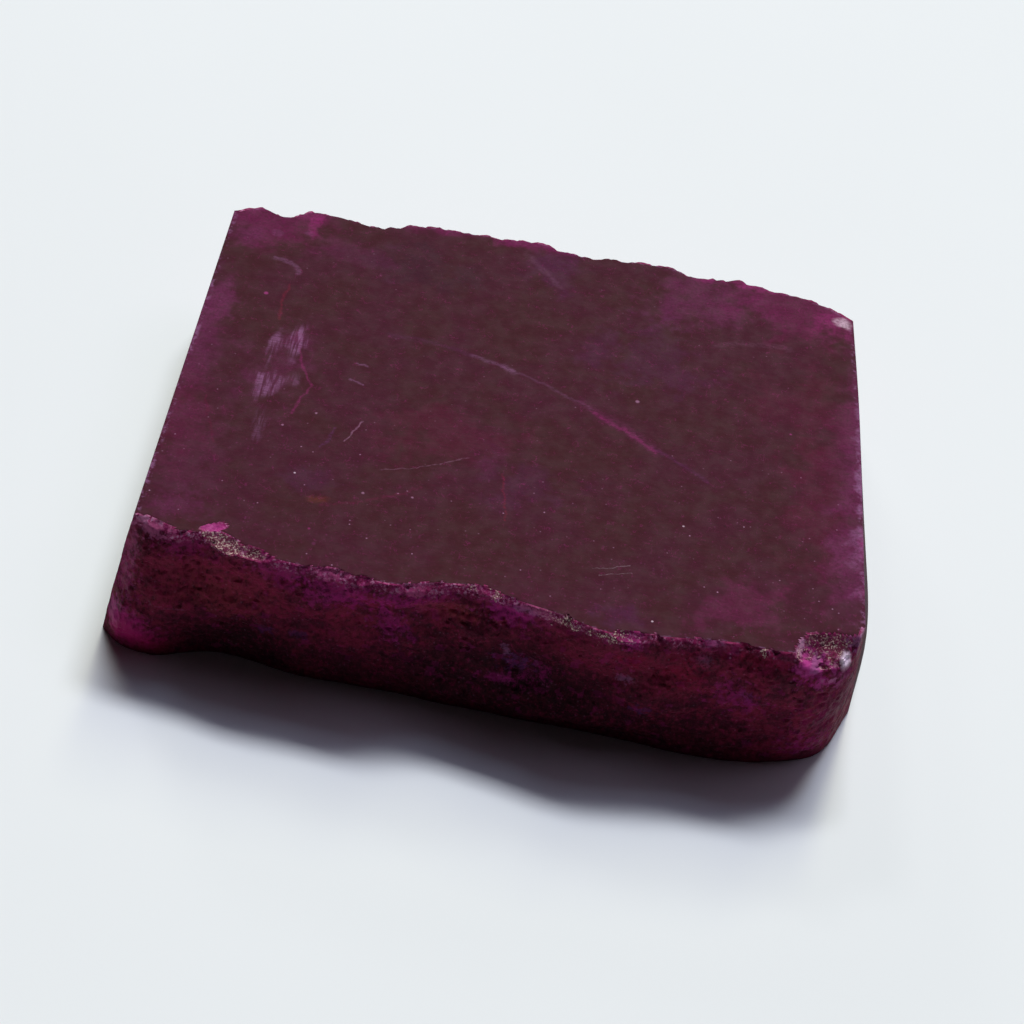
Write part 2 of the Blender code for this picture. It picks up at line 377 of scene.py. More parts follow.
def cut_chips(points):
    """Cuts every chip. Returns the points, 1 where a chip moved them, and how much mica lines them."""
    chipped = np.zeros(len(points))
    mica = np.zeros(len(points))
    for at, half, rise, turn, lining in CHIPS:
        points, inside = scoop(points, at, half, rise, turn)
        chipped = np.where(inside, 1.0, chipped)
        mica = np.where(inside, lining, mica)
    return points, chipped, mica


def fit_to_frame(points):
    """Sets the stone's box on the frame's box. Returns the points in metres, and (scale, shift)."""
    low = points.min(axis=0)
    high = points.max(axis=0)
    scale = (np.array(STONE_HIGH) - np.array(STONE_LOW)) / (high - low)
    shift = np.array(STONE_LOW) - low * scale
    return points * scale + shift, (scale, shift)


def write_attribute(mesh, name, values):
    """Stores one number at each point, for the material to read."""
    mesh.attributes.new(name, "FLOAT", "POINT").data.foreach_set("value", values.astype(np.float32))


def new_piece(name, mesh, materials):
    """A piece of the stone, which rides on the frame's one body."""
    piece = bpy.data.objects.new(name, mesh)
    bpy.context.scene.collection.objects.link(piece)
    for material in materials:
        mesh.materials.append(material)
    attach(piece, "root")
    return piece


def stone_mesh(settings):
    """The whole skin of the stone, and the scale and shift that took it to the frame."""
    top = rim(FRONT_TOP, RIGHT_TOP, BACK_TOP, LEFT_TOP)
    base = rim(FRONT_BASE, RIGHT_BASE, BACK_BASE, LEFT_BASE)
    share = skin_share(top)
    wall = wall_rings(top, base, share)
    over = face_rings(wall[-1])
    under = face_rings(wall[0])
    nicks = nick_depth(top, share) * settings.rim_wear
    base_nicks = np.where(share > 0, nicks * BASE_NICKS_SHARE, nicks)
    middle_row = WALL_ROWS // 2
    bevel_rim(wall[:middle_row:-1][::-1], over, nicks, -outward(top), -1.0)
    bevel_rim(wall[:middle_row][::-1], under, base_nicks, -outward(base), 1.0)

    rings = under[::-1] + wall + over
    rows = range(-len(under), len(rings) - len(under))
    relief_share = np.concatenate([skin_on_ring(ring, share, row) for ring, row in zip(rings, rows)])
    worn = np.concatenate([worn_on_ring(ring, len(share), row) for ring, row in zip(rings, rows)])
    points, chipped, mica = cut_chips(np.concatenate(rings))
    broken = np.maximum((relief_share > 0).astype(float), chipped)
    relief_share = np.maximum(relief_share, chipped)

    mesh = bpy.data.meshes.new("ruby_stone")
    mesh.from_pydata(points.tolist(), [], join_rings(rings))
    mesh.update()
    normals = np.zeros(len(points) * 3)
    mesh.vertex_normals.foreach_get("vector", normals)
    normals = normals.reshape(-1, 3)
    crystals = [crystal_faces(points, form) for form in CRYSTALS]
    height = sum(face for face, _ in crystals) * settings.crystal_relief
    off_table = np.clip(points[:, 2] / CRYSTALS_FADE_BASE, 0.0, 1.0)
    off_top = np.clip((HEIGHT - points[:, 2]) / CRYSTALS_FADE_TOP, CRYSTALS_AT_TOP, 1.0)
    points = points + normals * (height * relief_share * off_table * off_top)[:, None]
    points[:, 2] = np.clip(points[:, 2], 0.0, HEIGHT)
    placed, placing = fit_to_frame(points)
    mesh.vertices.foreach_set("co", placed.ravel())
    write_attribute(mesh, "chipped", chipped)
    write_attribute(mesh, "mica", mica)
    write_attribute(mesh, "grain", crystals[1][1])
    write_attribute(mesh, "worn", worn)
    ragged = RAGGED["reach"] * value_noise(points / RAGGED["width"], RAGGED["seed"])
    set_materials(mesh, broken + ragged * (broken > 0))
    mesh.update()
    return mesh, placing


def worn_on_ring(ring, columns, row):
    """1 on the rings at the rims of the sawn faces, and 0 elsewhere."""
    at_rim = row in (-1, 0, WALL_ROWS, WALL_ROWS + 1)
    return np.full(len(ring), float(at_rim and len(ring) == columns))


def set_materials(mesh, broken):
    """Gives each face the sawn material, or the broken one where its points are broken."""
    count = len(mesh.polygons)
    starts = np.zeros(count, np.int32)
    corners = np.zeros(len(mesh.loops), np.int32)
    mesh.polygons.foreach_get("loop_start", starts)
    mesh.loops.foreach_get("vertex_index", corners)
    total = np.add.reduceat(broken[corners], starts)
    sizes = np.diff(np.append(starts, len(corners)))
    mesh.polygons.foreach_set("material_index", (total / sizes > BROKEN_FROM).astype(np.int32))
    mesh.polygons.foreach_set("use_smooth", np.ones(count, bool))
    mesh.set_sharp_from_angle(angle=math.radians(SHARP_ANGLE))


def skin_on_ring(ring, share, row):
    """How broken each point of a ring is: the side's share on the wall and on the rim's bevel."""
    if len(ring) != len(share):
        return np.zeros(len(ring))
    on_wall = 0 <= row <= WALL_ROWS
    off_face = np.minimum(ring[:, 2], HEIGHT - ring[:, 2]) > BEVEL_SEEN
    return np.where(on_wall | off_face, share, 0.0)


# ---------------------------------------------------------------------------------------------
# Materials. Places are in the same millimetres as the form.
# ---------------------------------------------------------------------------------------------

# The colours of the stone, as linear red, green and blue.
TINTS = {
    "maroon": (0.05, 0.003, 0.015),
    "umber": (0.044, 0.0045, 0.01),
    "slate": (0.036, 0.005, 0.017),
    "rose": (0.09, 0.002, 0.026),
    "blush": (0.1, 0.014, 0.04),
    "magenta": (0.15, 0.004, 0.07),
    "purple": (0.095, 0.013, 0.08),
    "mauve": (0.13, 0.013, 0.072),
    "pink": (0.42, 0.045, 0.24),
    "lilac": (0.26, 0.1, 0.23),
    "petal": (0.36, 0.066, 0.175),
    "milk": (0.45, 0.21, 0.36),
    "white": (0.8, 0.6, 0.73),
    "frost": (0.95, 0.76, 0.95),
    "red": (0.2, 0.005, 0.03),
    "ruby": (0.38, 0.01, 0.11),
    "orange": (0.16, 0.03, 0.01),
    "dark": (0.013, 0.0034, 0.0062),
    "garnet": (0.175, 0.013, 0.04),
    "rust": (0.2, 0.026, 0.036),
    "dusk": (0.086, 0.0076, 0.024),
    "orchid": (0.3, 0.015, 0.15),
    "violet": (0.11, 0.022, 0.115),
    "bark": (0.13, 0.035, 0.05),
    "gold": (0.66, 0.48, 0.43),
}

# Soft patches of colour in the sawn top: tint, place seen from above, half size, strength and
# ragged edge. The bands along the left, right and back rims are partly the stone's magenta and
# partly painted glow, where light passes through the thin edges.
TOP_PATCHES = [
    ("magenta", (2, 30.4), (5.5, 4.2, 3), 0.6, 0.5),
    ("orchid", (2.4, 31.6), (2.8, 0.9, 3), 0.4, 0.6),
    ("orchid", (5.2, 30.7), (0.5, 2, 3), 0.4, 0.7),
    ("mauve", (0.7, 28.6), (1.6, 1.5, 2), 0.6, 0.6),
    ("umber", (1.6, 25.8), (3.6, 1.3, 3), 0.8, 0.5),
    ("mauve", (-0.6, 17), (3.2, 9.5, 2), 0.6, 0.5),
    ("mauve", (0, 20.6), (2, 3.2, 2), 0.7, 0.6),
    ("rose", (0, 9), (3, 6, 2), 0.55, 0.6),
    ("magenta", (11.5, 32.6), (4, 1.2, 3), 0.65, 0.4),
    ("magenta", (21, 32.6), (5.5, 1.1, 3), 0.95, 0.4),
    ("purple", (22.5, 29.6), (2.6, 3.2, 3), 0.35, 0.6),
    ("mauve", (33, 29.6), (5, 4.6, 3), 0.6, 0.6),
    ("magenta", (39.5, 30.2), (7, 3.8, 3), 0.55, 0.5),
    ("orchid", (36, 31.9), (3.4, 0.8, 3), 0.3, 0.6),
    ("orchid", (42.2, 28.9), (2, 2.2, 3), 0.42, 0.6),
    ("rose", (42.5, 11), (4, 10, 3), 0.55, 0.6),
    # Partly painted glow: the mauve, lilac and orchid bands along the right rim, for light passing
    # through the thin edge.
    ("mauve", (45.2, 17), (3.6, 18, 2), 0.95, 0.35),
    ("lilac", (44.9, 15), (1.1, 15, 1), 0.85, 0.9),
    ("mauve", (45, 4.6), (3.2, 5.6, 2), 0.6, 0.5),
    ("purple", (29.5, 22), (5, 4, 3), 0.22, 0.9),
    ("rose", (17.5, 11.5), (6, 4, 3), 0.45, 0.9),
    ("purple", (22.5, 8), (3.5, 3, 3), 0.2, 0.9),
    ("purple", (9.5, 5.5), (3, 1.6, 3), 0.22, 0.8),
    ("orchid", (37.6, 0), (3.4, 3, 2), 0.16, 0.9),
    ("purple", (29.8, -1.8), (1.6, 1.9, 2), 0.35, 0.8),
    ("slate", (14, 28), (6, 2.6, 3), 0.6, 0.7),
    ("umber", (33, 9.3), (3.4, 2.4, 3), 0.7, 0.6),
    ("umber", (20, 2), (12, 3.5, 3), 0.55, 0.7),
    ("orange", (10.5, 3.7), (0.9, 0.5, 2), 0.4, 0.6),
    ("mauve", (1.6, 6), (3, 7, 3), 0.22, 0.9),
    ("mauve", (2.2, 1), (2.8, 1.8, 2), 0.4, 0.8),
    ("mauve", (5.6, 15.4), (2.4, 5, 3), 0.36, 0.8),
    # Partly painted glow: the magenta and orchid bands along the back rim.
    ("magenta", (14, 33), (17, 1.3, 3), 0.75, 0.4),
    ("orchid", (39, 32), (8, 1, 3), 0.45, 0.5),
    ("orchid", (45.1, 14), (0.8, 16, 1), 0.55, 0.6),
    ("mauve", (8, 28), (3.6, 2.2, 3), 0.24, 0.9),
    ("rose", (40.5, 20), (4.5, 7, 3), 0.4, 0.8),
    ("pink", (6.2, 18.8), (0.5, 0.9, 1), 0.16, 0.5),
    ("umber", (24.6, 29.4), (3, 1.4, 2), 0.5, 0.6),
    ("lilac", (4.9, 29.6), (0.45, 0.5, 1), 0.16, 0.9),
    ("lilac", (2.8, 29.1), (0.45, 0.5, 1), 0.16, 0.9),
    ("white", (42.6, 29.1), (0.75, 0.8, 1), 0.6, 0.7),
]

# Pale streaks that the saw bleached, on the top: place, half size and strength.
BLEACHED = [
    ((4.85, 16.9), (0.6, 2.8, 2), 0.75),
    ((5.2, 13.4), (1.1, 2, 2), 0.85),
    ((6.3, 17.9), (0.7, 2.4, 2), 0.8),
    ((6.2, 18.9), (0.55, 0.9, 2), 0.9),
    ((6.8, 14.4), (0.7, 1.1, 2), 0.4),
    ((5.4, 9.4), (0.6, 2.6, 2), 0.35),
]

# Veins, as lines through points seen from above: tint, width, strength and the points. They run
# down through the stone on a slant: the shift of the lines for each millimetre of depth.
VEIN_SLANT = (0.35, -0.25, 0.0)
VEINS = [
    ("purple", 0.35, 0.25, [(12.2, 20.3), (14.9, 20.3), (17.7, 19.7)]),
    ("lilac", 0.3, 0.3, [(17.9, 19.6), (19.6, 19.2), (20.9, 18.7)]),
    ("lilac", 0.45, 0.3, [(20.1, 19.1), (20.8, 18.6)]),
    ("lilac", 0.2, 0.18, [(21.2, 18.6), (24, 17.4), (26.3, 16.2)]),
    ("mauve", 0.65, 0.4, [(25.6, 16.6), (28.6, 14.8), (30.9, 13.2)]),
    ("orchid", 0.28, 0.36, [(26.4, 16), (28.6, 14.7), (30.8, 13.1)]),
    ("purple", 0.26, 0.35, [(30.7, 13.4), (33.2, 11.9), (34.4, 11)]),
    ("red", 0.18, 0.4, [(4.7, 23.8), (4.5, 22.1), (4.7, 20.2)]),
    ("orchid", 0.16, 0.35, [(6.5, 17.8), (7.2, 15.4), (8.1, 14.1), (7.5, 12.5), (7.3, 11.2)]),
    ("rose", 0.2, 0.7, [(10.6, 3.1), (13, 4.1), (15.3, 5.3), (16.4, 6.2)]),
    ("rose", 0.17, 0.8, [(1.6, 11.5), (2.4, 8.8), (3, 7.3)]),
    ("red", 0.14, 0.4, [(21.4, 8.6), (22.1, 4.6)]),
    ("lilac", 0.3, 0.35, [(3.1, 26.5), (4.8, 26), (5, 25.2)]),
]

# Scratches on the top, in the same way.
SCRATCHES = [
    ("milk", 0.1, 0.4, [(11.9, 11.5), (11.4, 10.3), (11, 9.4)]),
    ("purple", 0.16, 0.6, [(10.2, 10.4), (10.1, 9.2), (9.6, 8.5)]),
    ("milk", 0.08, 0.2, [(13.7, 7.2), (16.7, 8.3), (19.1, 9.7)]),
    ("lilac", 0.14, 0.45, [(10.5, 17), (11.3, 16.8)]),
    ("lilac", 0.14, 0.45, [(10.4, 15.2), (11.3, 15)]),
    ("milk", 0.45, 0.07, [(33.9, 24.7), (35.5, 25.3), (37.2, 25.6), (39, 25.5)]),
    ("milk", 0.4, 0.08, [(20.1, 31.3), (21.5, 29.8), (22.8, 28.2)]),
    ("white", 0.06, 0.16, [(27.9, 1.6), (30.2, 2.3)]),
    ("white", 0.06, 0.14, [(28.4, 1.1), (30.4, 1.7)]),
]

# Single bright crystals in the top: tint, place seen from above and half size.
DOTS = [
    ("white", (33.2, 6.6), 0.1), ("white", (37, 7.4), 0.08), ("white", (32, -2.1), 0.07),
    ("milk", (13, 4.9), 0.15), ("milk", (16.1, 5.2), 0.14), ("milk", (15.7, 5.7), 0.1),
    ("milk", (29.2, 17.7), 0.18), ("pink", (39.5, 16.9), 0.16), ("white", (8.5, 5.7), 0.1),
    ("milk", (8.8, 11.5), 0.1), ("milk", (6.9, 9.9), 0.09),
    ("pink", (3.3, 22.6), 0.16), ("mauve", (10.8, -0.2), 0.22),
    ("orchid", (10.3, 1), 0.13), ("dark", (35.8, 7.2), 0.12),
]

# Patches of colour in the broken skin: tint, middle, half size, strength and ragged edge.
SKIN_PATCHES = [
    # Painted shade: these four dark patches darken the front towards the table, where less light bounces
    # up from the floor.
    ("dark", (22, -3, 0), (21, 5, 7), 0.7, 0.2),
    ("dark", (6.5, -2, 1.6), (6.6, 3, 4.9), 0.82, 0.25),
    ("dark", (35, -3, 0.6), (8, 4, 5.5), 0.5, 0.4),
    ("dark", (26, -3, 4.6), (13, 5, 5), 0.68, 0.3),
    ("garnet", (5, -2, 7.6), (6.5, 3, 3), 0.92, 0.5),
    ("rust", (5.5, -2, 6), (3.6, 3, 2.2), 0.4, 0.7),
    ("orchid", (3, -2, 9.2), (2.6, 3, 1), 0.4, 1),
    ("orchid", (9.4, -2.4, 9.3), (2.2, 3, 0.9), 0.5, 0.9),
    ("orchid", (13, -2.6, 8.6), (3, 3, 1.6), 0.62, 0.9),
    ("orchid", (17.5, -2.9, 8.9), (3, 3, 1.4), 0.7, 0.9),
    ("petal", (12.4, -2.4, 9.8), (1.5, 1.5, 0.5), 0.8, 0.9),
    ("petal", (17.8, -2.6, 9.7), (1.6, 1.5, 0.5), 0.8, 0.9),
    ("rust", (19.6, -2.8, 8.3), (3.2, 2, 0.8), 0.75, 0.8),
    ("orchid", (16.2, -3, 6.6), (1.4, 2, 1.6), 0.55, 1.1),
    ("orchid", (23.6, -2.7, 9), (2.4, 3, 1.3), 0.9, 0.8),
    ("lilac", (24.6, -2.9, 9.6), (1.4, 1.5, 0.5), 0.6, 0.9),
    ("violet", (24.2, -3.5, 5.2), (1.7, 2, 0.9), 0.65, 0.8),
    ("lilac", (23.5, -3, 6.2), (0.4, 2, 0.8), 0.5, 0.8),
    ("orchid", (23.1, -3, 3.8), (1.5, 2, 0.4), 0.6, 0.8),
    ("garnet", (31, -3.4, 7.6), (8, 3, 2.6), 0.55, 0.6),
    ("orchid", (30.9, -3.4, 9.5), (1, 2, 0.8), 0.8, 0.7),
    ("red", (31.2, -3.2, 8.1), (1, 2, 0.9), 0.7, 0.8),
    ("lilac", (30.9, -3.2, 6.3), (0.7, 2, 0.4), 0.45, 1),
    ("violet", (32.2, -3.2, 4.2), (1.1, 2, 0.5), 0.55, 0.9),
    ("lilac", (35.8, -2.8, 9.9), (0.9, 1.5, 0.5), 0.55, 0.8),
    ("lilac", (35.5, -3, 8.7), (0.8, 1.5, 0.5), 0.4, 1),
    ("red", (34.6, -3, 7.6), (1.6, 2, 1.8), 0.6, 0.9),
    ("orchid", (37.8, -3, 6.2), (2, 2, 1.5), 0.5, 1.1),
    ("violet", (38.7, -3, 6.6), (0.8, 2, 0.8), 0.45, 0.8),
    ("red", (38.8, -3, 9.4), (2.8, 2, 0.8), 0.6, 0.8),
    ("orchid", (43.6, -1.8, 5.2), (2.6, 3, 4.6), 0.22, 1.1),
    ("rose", (43.5, -2.2, 5.8), (2.6, 3, 3.4), 0.5, 0.7),
    ("orchid", (42.8, -1.5, 2), (1.9, 3, 1.3), 0.45, 0.9),
    ("orchid", (41.9, -2.6, 9), (1.2, 1.8, 1.3), 0.9, 0.6),
    ("red", (41.6, -2.8, 8.9), (0.6, 1.2, 0.6), 0.5, 0.6),
    ("orchid", (42.4, -2.6, 8.1), (1.4, 1.6, 0.7), 0.8, 0.8),
    ("orchid", (43.6, -2.2, 8), (1.5, 1.6, 0.6), 0.45, 1.1),
    # Painted light: the orchid patch at the left end is partly light from the left side, and the orchid,
    # red and pink patches of the lobe at its base are partly painted glow of light passing through the
    # thin lobe.
    ("orchid", (-0.8, -1, 6), (1.2, 2, 3.6), 0.4, 1),
    ("lilac", (0.6, -0.8, 9.7), (1.6, 1, 0.7), 0.6, 1.1),
    ("orchid", (-0.2, -1.8, 1.9), (2.5, 2.2, 2.1), 0.95, 0.4),
    ("red", (0.8, -2, 1.1), (1.8, 2.2, 1.2), 0.7, 0.5),
    ("pink", (-1.3, -1.2, 2.6), (1.2, 1.5, 0.9), 0.45, 0.7),
    ("violet", (8.5, -1.8, 3.7), (0.9, 1.5, 0.5), 0.45, 0.9),
    ("violet", (10.6, -2.2, 4), (0.8, 1.5, 0.4), 0.45, 0.9),
    ("lilac", (2.2, -1.6, 4.6), (2.2, 1.5, 0.15), 0.3, 0.5),
]

# Fresh crystals that lie over the mica, laid down in the same way. The last two brighten the lobe at the
# base of the left end: painted glow of light passing through the thin stone.
FRESH_PATCHES = [
    ("pink", (4.5, -0.16, 9.95), (1.15, 0.55, 0.5), 0.7, 0.25),
    ("pink", (42, -2.6, 9), (1.3, 1.2, 1.1), 0.95, 0.55),
    ("lilac", (42.2, -2.4, 9), (0.5, 1.2, 0.7), 0.55, 0.6),
    ("pink", (43.2, -2.6, 7.7), (1.5, 1.5, 0.5), 0.55, 1.1),
    ("milk", (43.5, -2.6, 7.9), (0.6, 1.2, 0.3), 0.4, 1.1),
    ("milk", (41.1, -1.7, 9.8), (0.45, 1.2, 0.6), 0.75, 0.6),
    ("pink", (43.2, -2.2, 9), (0.7, 0.7, 0.6), 0.6, 0.9),
    ("frost", (44.05, -1.7, 9), (0.46, 0.85, 0.8), 1, 0.15),
    ("milk", (44.2, -2.2, 8.5), (0.35, 0.6, 0.35), 0.8, 0.3),
    ("lilac", (44.6, -0.6, 9.7), (0.7, 1, 0.7), 0.6, 0.9),
    ("milk", (44.9, -0.1, 10), (0.3, 0.7, 0.5), 0.6, 0.7),
    ("petal", (-0.7, -0.8, 8), (1, 1.4, 2.6), 0.35, 1),
    ("petal", (0.8, -0.8, 9.8), (1.7, 1.2, 0.7), 0.75, 1),
    ("milk", (0.3, -0.6, 10), (1.3, 0.9, 0.35), 0.45, 1.2),
    ("rose", (44.4, -1.8, 5), (2.2, 2.6, 4), 0.5, 0.6),
    ("petal", (25.6, -2.7, 9.9), (1.8, 1.4, 0.6), 0.6, 0.9),
    # Painted glow: the lobe at the base of the left end, lit as if light passed through it.
    ("ruby", (-0.2, -1.9, 1.6), (2.6, 2.4, 1.9), 0.75, 0.3),
    ("pink", (-1.5, -1.3, 2.2), (1, 1.6, 1.1), 0.4, 0.5),
]

# Crumbled places outside the chips where gold mica shows: middle and half size.
MICA_PATCHES = [
    ((20.6, -2.6, 9.9), (0.9, 1.2, 0.5)),
    ((22.4, -2.2, 9.9), (0.6, 1, 0.4)),
    ((26.8, -3, 9.8), (1.7, 1.3, 0.7)),
    ((29.6, -3.5, 9.7), (1.3, 1.2, 0.5)),
    ((38.9, -3, 9.8), (0.4, 1.2, 0.3)),
]


# Noises of the materials: scale, detail and roughness, and how far space is stretched first.
NOISES = {
    "top edges": (0.55, 3, 0.6),
    "top tone": (0.22, 4, 0.6),
    "mottle": (1.8, 5, 0.75, (0.7, 1.2, 1)),
    "patch crumbs": (4.5, 3, 0.7),
    "grain": (1, 4, 0.8, (2.6, 5.2, 5.2)),
    "comb lines": (1, 2, 0.6, (1.5, 7, 1)),
    "comb rows": (1, 2, 0.6, (4.5, 0.4, 1)),
    "hairs": (1, 3, 0.65, (0.7, 0.5, 1)),
    "rubbed": (1.7, 3, 0.7),
    "satin": (0.8, 3, 0.6),
    "pits": (7, 2, 0.7),
    "skin edges": (2.4, 3, 0.6),
    "skin tone": (1, 3, 0.6, (0.6, 0.6, 1)),
    "sugar": (1, 4, 0.8, (3.6, 3.6, 3)),
    "skin crumbs": (5, 3, 0.7),
    "strip gaps": (0.9, 2, 0.6),
    "mica gaps": (1.6, 3, 0.6),
    "fine grain": (8, 3, 0.7),
    "floor": (14, 3, 0.5),
}

# How a noise, a place or a mask becomes a strength: its low and high values, and the strengths there.
RAMPS = {
    "umber tone": (0.4, 0.62, 0, 1),
    "rose mottle": (0.48, 0.72, 0, 0.15),
    "slate mottle": (0.25, 0.48, 0.1, 0),
    "patch crumbs": (0.35, 0.6, 0.55, 1.05),
    "vein gaps": (0.36, 0.58, 0.2, 1),
    "on top": (0, 0.5, 1, 0),
    "comb lines": (0.34, 0.66, 0.5, 1),
    "comb rows": (0.4, 0.6, 0.08, 1),
    "blush grain": (0.5, 0.74, 0, 0.26),
    "dark grain": (0.28, 0.5, 0.34, 0),
    "hairs": (0, 0.012, 0.24, 0),
    "hair patches": (0.46, 0.6, 0, 1),
    "near front": (2, 24, 1, 0.25),
    "crowded": (0.4, 0.6, 1, 0.35),
    "rubbed": (0.48, 0.64, 0, 0.55),
    "grooves": (0.45, 0.75, 0, 0.18),
    "garnet tone": (0.38, 0.62, 0, 1),
    "near rim": (10.6, 12.4, 0, 1),
    "ruby sugar": (0.52, 0.74, 0, 0.45),
    "dark sugar": (0.3, 0.52, 0.78, 0),
    "bright crystals": (0.84, 1, 0, 0.22),
    "rim specks": (0, 1, 0.16, 0.7),
    "strip": (9.65, 10.25, 0, 1),
    "strip left": (2, 9, 2.1, 1),
    "strip right": (30, 36, 1, 0.35),
    "strip gaps": (0.42, 0.58, 0.22, 1),
    "petal crumbs": (0.4, 0.58, 0, 0.65),
    "milk crumbs": (0.53, 0.63, 0, 0.8),
    "fresh chips": (0.42, 0.62, 0, 0.35),
    "painted base glow": (0, 0.9, 0.25, 0),
    "mica": (0.92, 1.25, 0, 1),
    "flakes": (0.55, 1, 0, 1),
    "cloud": (0.25, 1, 1, 0),
    "uneven floor": (0.3, 0.7, 0, 1),
}

# Specks: the size of the cells, the share of them that hold a dot, and the dot's half size in cells.
SPECKLES = {"fine": (0.27, 0.36, 0.38), "pale": (0.42, 0.16, 0.20), "rim": (0.26, 0.30, 0.42)}
SPECK_FAINTEST = 0.15

# Every noise runs from 0 to 1 about this value. EDGE_REACH is how far it moves the edge of a patch,
# as a share of the patch, and BENDS is the noise that bends the veins, with its reach in millimetres.
NOISE_MIDDLE = 0.5
EDGE_REACH = 4.0
BENDS = {"scale": 1.3, "detail": 3.0, "reach": 0.6}

# The layers of colour whose strength isn't in a table: the bleached streaks, the single dots, the
# fine specks, and the blush below the top rim, which reaches down where the skin's tone is high.
# The blush is partly the magenta of crumbled crystals and partly painted glow of light passing
# through the thin rim.
BLEACH = {"strength": 0.9, "ragged": 0.5}
DOT = {"strength": 0.55, "ragged": 0.6}
FINE_SPECKS = 0.8
RIM_BLUSH_AND_GLOW = {"strength": 0.35, "reach": 4.0}
MICA = {"bed": 0.6, "ragged": 1.0, "flakes_per_mm": 12.0}

# The bumps: how much the saw's grooves are drawn out along X, the share of the pits beside them, and
# the crystals of the broken skin.
SAW = {"stretch": (0.05, 1.0, 1.0), "detail": 1.0, "roughness": 0.5}
PIT_SHARE = 0.6
FACETS = {"per_mm": 4.5, "share": 0.6}

# How far the roughness goes below and above its setting, and the noise values where it does so.
SAWN_SATIN = (-0.05, 0.07)
SATIN_SPAN = (0.3, 0.7)
BROKEN_SATIN = (-0.12, 0.15)
RUBY_IOR = 1.77
FLOOR_DIMMER = 0.985


class Graph:
    """Adds nodes to one shader tree. An input is given as a value or as another node's socket."""

    def __init__(self, tree):
        self.tree = tree

    def feed(self, socket, value):
        if isinstance(value, bpy.types.NodeSocket):
            self.tree.links.new(value, socket)
        else:
            socket.default_value = value

    def node(self, kind, inputs=None, **settings):
        node = self.tree.nodes.new(kind)
        for name, value in settings.items():
            setattr(node, name, value)
        for name, value in (inputs or {}).items():
            self.feed(node.inputs[name], value)
        return node

    def math(self, operation, first, second=0.0):
        return self.node("ShaderNodeMath", {0: first, 1: second}, operation=operation).outputs[0]

    def times(self, first, *others):
        """The product of the values."""
        for other in others:
            first = self.math("MULTIPLY", first, other)
        return first

    def limit(self, value):
        """The value, held between 0 and 1."""
        return self.math("MINIMUM", self.math("MAXIMUM", value, 0.0), 1.0)

    def vector(self, operation, first, second=(0.0, 0.0, 0.0)):
        node = self.node("ShaderNodeVectorMath", {0: first, 1: second}, operation=operation)
        return node.outputs["Value" if operation in {"LENGTH", "DOT_PRODUCT"} else "Vector"]

    def scaled(self, vector, scale):
        node = self.node("ShaderNodeVectorMath", {0: vector, "Scale": scale}, operation="SCALE")
        return node.outputs["Vector"]

    def span(self, value, low, high, start=0.0, end=1.0):
        """The value, taken smoothly from start at low to end at high."""
        node = self.node("ShaderNodeMapRange", {"Value": value, "From Min": low, "From Max": high,
                                                "To Min": start, "To Max": end},
                         interpolation_type="SMOOTHSTEP", clamp=False)
        return node.outputs["Result"]

    def ramp(self, value, name):
        """The value, taken along one of the RAMPS."""
        return self.span(value, *RAMPS[name])

    def texture(self, point, scale, detail, roughness, stretch=None):
        if stretch:
            point = self.vector("MULTIPLY", point, stretch)
        node = self.node("ShaderNodeTexNoise", {"Vector": point, "Scale": scale, "Detail": detail,
                                                "Roughness": roughness})
        return node.outputs["Fac"]

    def noise(self, point, name):
        """One of the NOISES, at a point."""
        return self.texture(point, *NOISES[name])

    def part(self, point, axis):
        """One of the three numbers of a point: X, Y or Z."""
        return self.node("ShaderNodeSeparateXYZ", {"Vector": point}).outputs[axis]

    def chance(self, cells):
        """A value from 0 to 1 for each cell of a Voronoi node."""
        return self.node("ShaderNodeSeparateColor", {"Color": cells.outputs["Color"]}).outputs[0]

    def mix(self, share, first, second):
        """The first colour, taken towards the second by a share from 0 to 1."""
        node = self.node("ShaderNodeMix", {0: share}, data_type="RGBA")
        self.feed(node.inputs[6], first)
        self.feed(node.inputs[7], second)
        return node.outputs[2]

    def tint(self, color, name, *shares):
        """The colour, taken towards a named tint by the product of the shares."""
        return self.mix(self.times(*shares), color, rgba(name))

    def attribute(self, name):
        return self.node("ShaderNodeAttribute", attribute_name=name).outputs["Fac"]

    def group(self, tree, inputs):
        return self.node("ShaderNodeGroup", inputs, node_tree=tree).outputs


def rgba(tint):
    return (*TINTS[tint], 1.0)


FLOAT = "NodeSocketFloat"
VECTOR = "NodeSocketVector"


def new_group(name, inputs, output):
    """A node group with named sockets. Returns its graph, its input sockets and its output socket."""
    tree = bpy.data.node_groups.new(name, "ShaderNodeTree")
    for socket, (kind, value) in inputs.items():
        item = tree.interface.new_socket(socket, in_out="INPUT", socket_type=kind)
        item.default_value = value
    tree.interface.new_socket(output, in_out="OUTPUT", socket_type=FLOAT)
    graph = Graph(tree)
    return graph, graph.node("NodeGroupInput").outputs, graph.node("NodeGroupOutput").inputs[output]


def streak_group():
    """Streak: 1 on a line from Start to End and 0 a Width away from it, seen from above.

    The nearest point of the line is Start plus a share, from 0 to 1, of End minus Start.
    """
    graph, given, out = new_group(
        "Streak",
        {"Point": (VECTOR, (0, 0, 0)), "Start": (VECTOR, (0, 0, 0)), "End": (VECTOR, (1, 0, 0)),
         "Width": (FLOAT, 0.2)},
        "Mask")
    reach = graph.vector("SUBTRACT", given["End"], given["Start"])
    away = graph.vector("SUBTRACT", given["Point"], given["Start"])
    along = graph.limit(graph.math("DIVIDE", graph.vector("DOT_PRODUCT", away, reach),
                                   graph.vector("DOT_PRODUCT", reach, reach)))
    gap = graph.vector("LENGTH", graph.vector("SUBTRACT", away, graph.scaled(reach, along)))
    graph.feed(out, graph.span(gap, 0.0, given["Width"], 1.0, 0.0))
    return graph.tree


